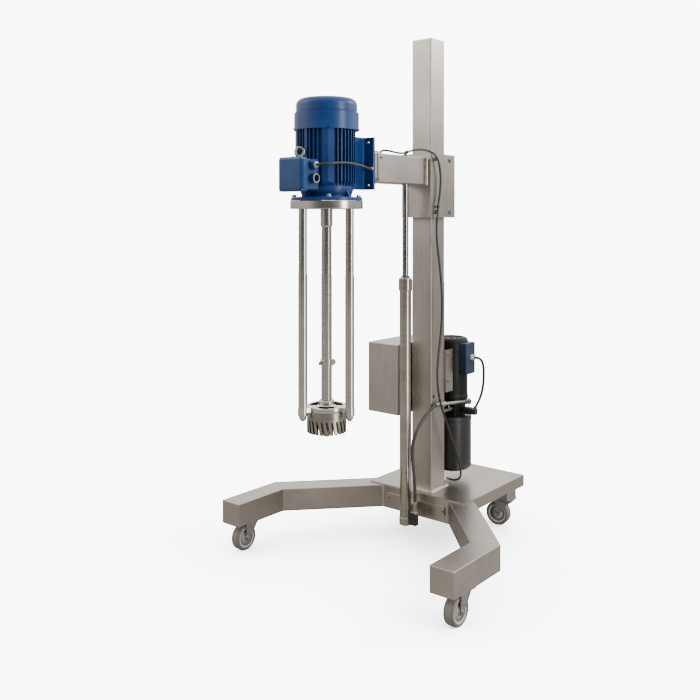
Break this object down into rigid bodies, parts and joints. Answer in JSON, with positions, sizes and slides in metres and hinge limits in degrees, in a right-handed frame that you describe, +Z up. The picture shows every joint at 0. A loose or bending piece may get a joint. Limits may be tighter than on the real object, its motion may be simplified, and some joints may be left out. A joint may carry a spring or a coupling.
{
  "type": "high shear mixer",
  "caption": "Mobile high shear mixer with a slotted rotor and stator head, hung from a hydraulic lift column on a splayed caster base with a control enclosure and power pack.",
  "frame": {"origin": "on the floor, under the middle of the machine's overall length and width", "axes": "+Z up, +Y from the mixing head towards the power pack, +X to the side of the pack's terminal box"},
  "size_m": [1.2436, 1.4126, 2.373],
  "materials": {
    "stainless": "brushed stainless steel, satin grain along the length",
    "stainless_sheet": "satin stainless sheet",
    "ground_steel": "turned and ground stainless steel",
    "zinc_steel": "bright zinc plated steel",
    "chrome": "hard chrome, mirror smooth",
    "blue_enamel": "mid blue machine enamel, half gloss",
    "dark_blue_enamel": "dark blue enamel, satin",
    "black_enamel": "black enamel, half gloss",
    "core_steel": "stacked electrical steel with varnished windings",
    "black_plastic": "black moulded plastic, matt",
    "grey_plastic": "light grey moulded plastic",
    "guide_plastic": "black low-friction guide plastic",
    "gland_plastic": "pale grey moulded plastic",
    "green_plastic": "green button cap",
    "red_plastic": "red button cap",
    "grey_rubber": "grey non-marking rubber on a plastic hub",
    "hose_rubber": "dark rubber hose, satin",
    "cable_rubber": "black cable sheath, satin"
  },
  "bodies": {
    "base": {"leg_left": "stainless", "leg_right": "stainless", "cross_beam": "stainless", "platform": "stainless", "column": "stainless", "caster_plates": "zinc_steel", "cylinder_barrel": "ground_steel", "cylinder_caps": "ground_steel", "cylinder_bracket": "stainless", "hose_coupling": "black_enamel", "hydraulic_hose": "hose_rubber", "pressure_pipe": "zinc_steel", "pack_bracket": "stainless", "pack_tank": "black_enamel", "pack_manifold": "black_enamel", "pack_motor": "black_enamel", "pack_terminal_box": "dark_blue_enamel", "solenoid_valve": "black_plastic", "pack_cable": "cable_rubber", "base_glands": "gland_plastic", "enclosure_body": "stainless_sheet", "enclosure_rails": "black_enamel", "drive_unit": "grey_plastic", "base_fasteners": "zinc_steel", "drop_cable": "cable_rubber"},
    "carriage": {"carriage_plates": "stainless", "guide_shoes": "guide_plastic", "arm": "stainless", "motor_plate": "stainless", "motor_frame": "blue_enamel", "motor_bell": "blue_enamel", "motor_cowl": "blue_enamel", "motor_core": "core_steel", "terminal_box": "blue_enamel", "terminal_lid": "blue_enamel", "support_plate": "ground_steel", "support_rods": "ground_steel", "head_ring": "ground_steel", "stator": "ground_steel", "piston_rod": "chrome", "carriage_fasteners": "zinc_steel", "motor_cable": "cable_rubber", "arm_cable": "cable_rubber"},
    "mixer": {"mixer_shaft": "ground_steel", "propeller": "ground_steel", "rotor": "ground_steel", "motor_fan": "black_plastic"},
    "door": {"enclosure_door": "stainless_sheet"},
    "main_switch_knob": {"main_switch": "black_plastic"},
    "start_button_cap": {"start_button": "green_plastic"},
    "stop_button_cap": {"stop_button": "red_plastic"},
    "lift_selector_knob": {"lift_selector": "black_plastic"},
    "fork_front_right": {"fork_front_right": "zinc_steel"},
    "wheel_front_right": {"wheel_front_right": "grey_rubber"},
    "fork_front_left": {"fork_front_left": "zinc_steel"},
    "wheel_front_left": {"wheel_front_left": "grey_rubber"},
    "fork_rear_right": {"fork_rear_right": "zinc_steel"},
    "wheel_rear_right": {"wheel_rear_right": "grey_rubber"},
    "fork_rear_left": {"fork_rear_left": "zinc_steel"},
    "wheel_rear_left": {"wheel_rear_left": "grey_rubber"}
  },
  "joints": [
    {"name": "lift", "type": "slide", "parent": "base", "child": "carriage", "axis": [0, 0, 1], "range_m": [-0.42, 0.48], "deforming": ["drop_cable"]},
    {"name": "mixer_spin", "type": "hinge", "parent": "carriage", "child": "mixer", "pos_m": [0, -0.483, 1], "axis": [0, 0, 1], "continuous": true},
    {"name": "door_hinge", "type": "hinge", "parent": "base", "child": "door", "pos_m": [-0.2315, 0.4212, 0.76], "axis": [0, 0, -1], "range_deg": [0, 110]},
    {"name": "main_switch_turn", "type": "hinge", "parent": "door", "child": "main_switch_knob", "pos_m": [-0.24, 0.2987, 0.849], "axis": [1, 0, 0], "range_deg": [0, 90]},
    {"name": "start_press", "type": "slide", "parent": "door", "child": "start_button_cap", "axis": [1, 0, 0], "range_m": [0, 0.003], "stiffness_N_per_m": 500, "springref_m": -0.002},
    {"name": "stop_press", "type": "slide", "parent": "door", "child": "stop_button_cap", "axis": [1, 0, 0], "range_m": [0, 0.003], "stiffness_N_per_m": 500, "springref_m": -0.002},
    {"name": "lift_selector_turn", "type": "hinge", "parent": "door", "child": "lift_selector_knob", "pos_m": [-0.24, 0.2187, 0.849], "axis": [1, 0, 0], "range_deg": [-45, 45], "stiffness_Nm_per_rad": 0.08},
    {"name": "swivel_front_right", "type": "hinge", "parent": "base", "child": "fork_front_right", "pos_m": [0.5749, -0.3753, 0.12], "axis": [0, 0, 1], "continuous": true},
    {"name": "roll_front_right", "type": "hinge", "parent": "fork_front_right", "child": "wheel_front_right", "pos_m": [0.5749, -0.4053, 0.0575], "axis": [1, 0, 0], "continuous": true},
    {"name": "swivel_front_left", "type": "hinge", "parent": "base", "child": "fork_front_left", "pos_m": [-0.5749, -0.3753, 0.12], "axis": [0, 0, 1], "continuous": true},
    {"name": "roll_front_left", "type": "hinge", "parent": "fork_front_left", "child": "wheel_front_left", "pos_m": [-0.5749, -0.4053, 0.0575], "axis": [1, 0, 0], "continuous": true},
    {"name": "swivel_rear_right", "type": "hinge", "parent": "base", "child": "fork_rear_right", "pos_m": [0.201, 0.6327, 0.12], "axis": [0, 0, 1], "continuous": true},
    {"name": "roll_rear_right", "type": "hinge", "parent": "fork_rear_right", "child": "wheel_rear_right", "pos_m": [0.17141, 0.62775, 0.0575], "axis": [0.165, -0.9863, 0], "continuous": true},
    {"name": "swivel_rear_left", "type": "hinge", "parent": "base", "child": "fork_rear_left", "pos_m": [-0.201, 0.6327, 0.12], "axis": [0, 0, 1], "continuous": true},
    {"name": "roll_rear_left", "type": "hinge", "parent": "fork_rear_left", "child": "wheel_rear_left", "pos_m": [-0.231, 0.6327, 0.0575], "axis": [0, -1, 0], "continuous": true}
  ]
}
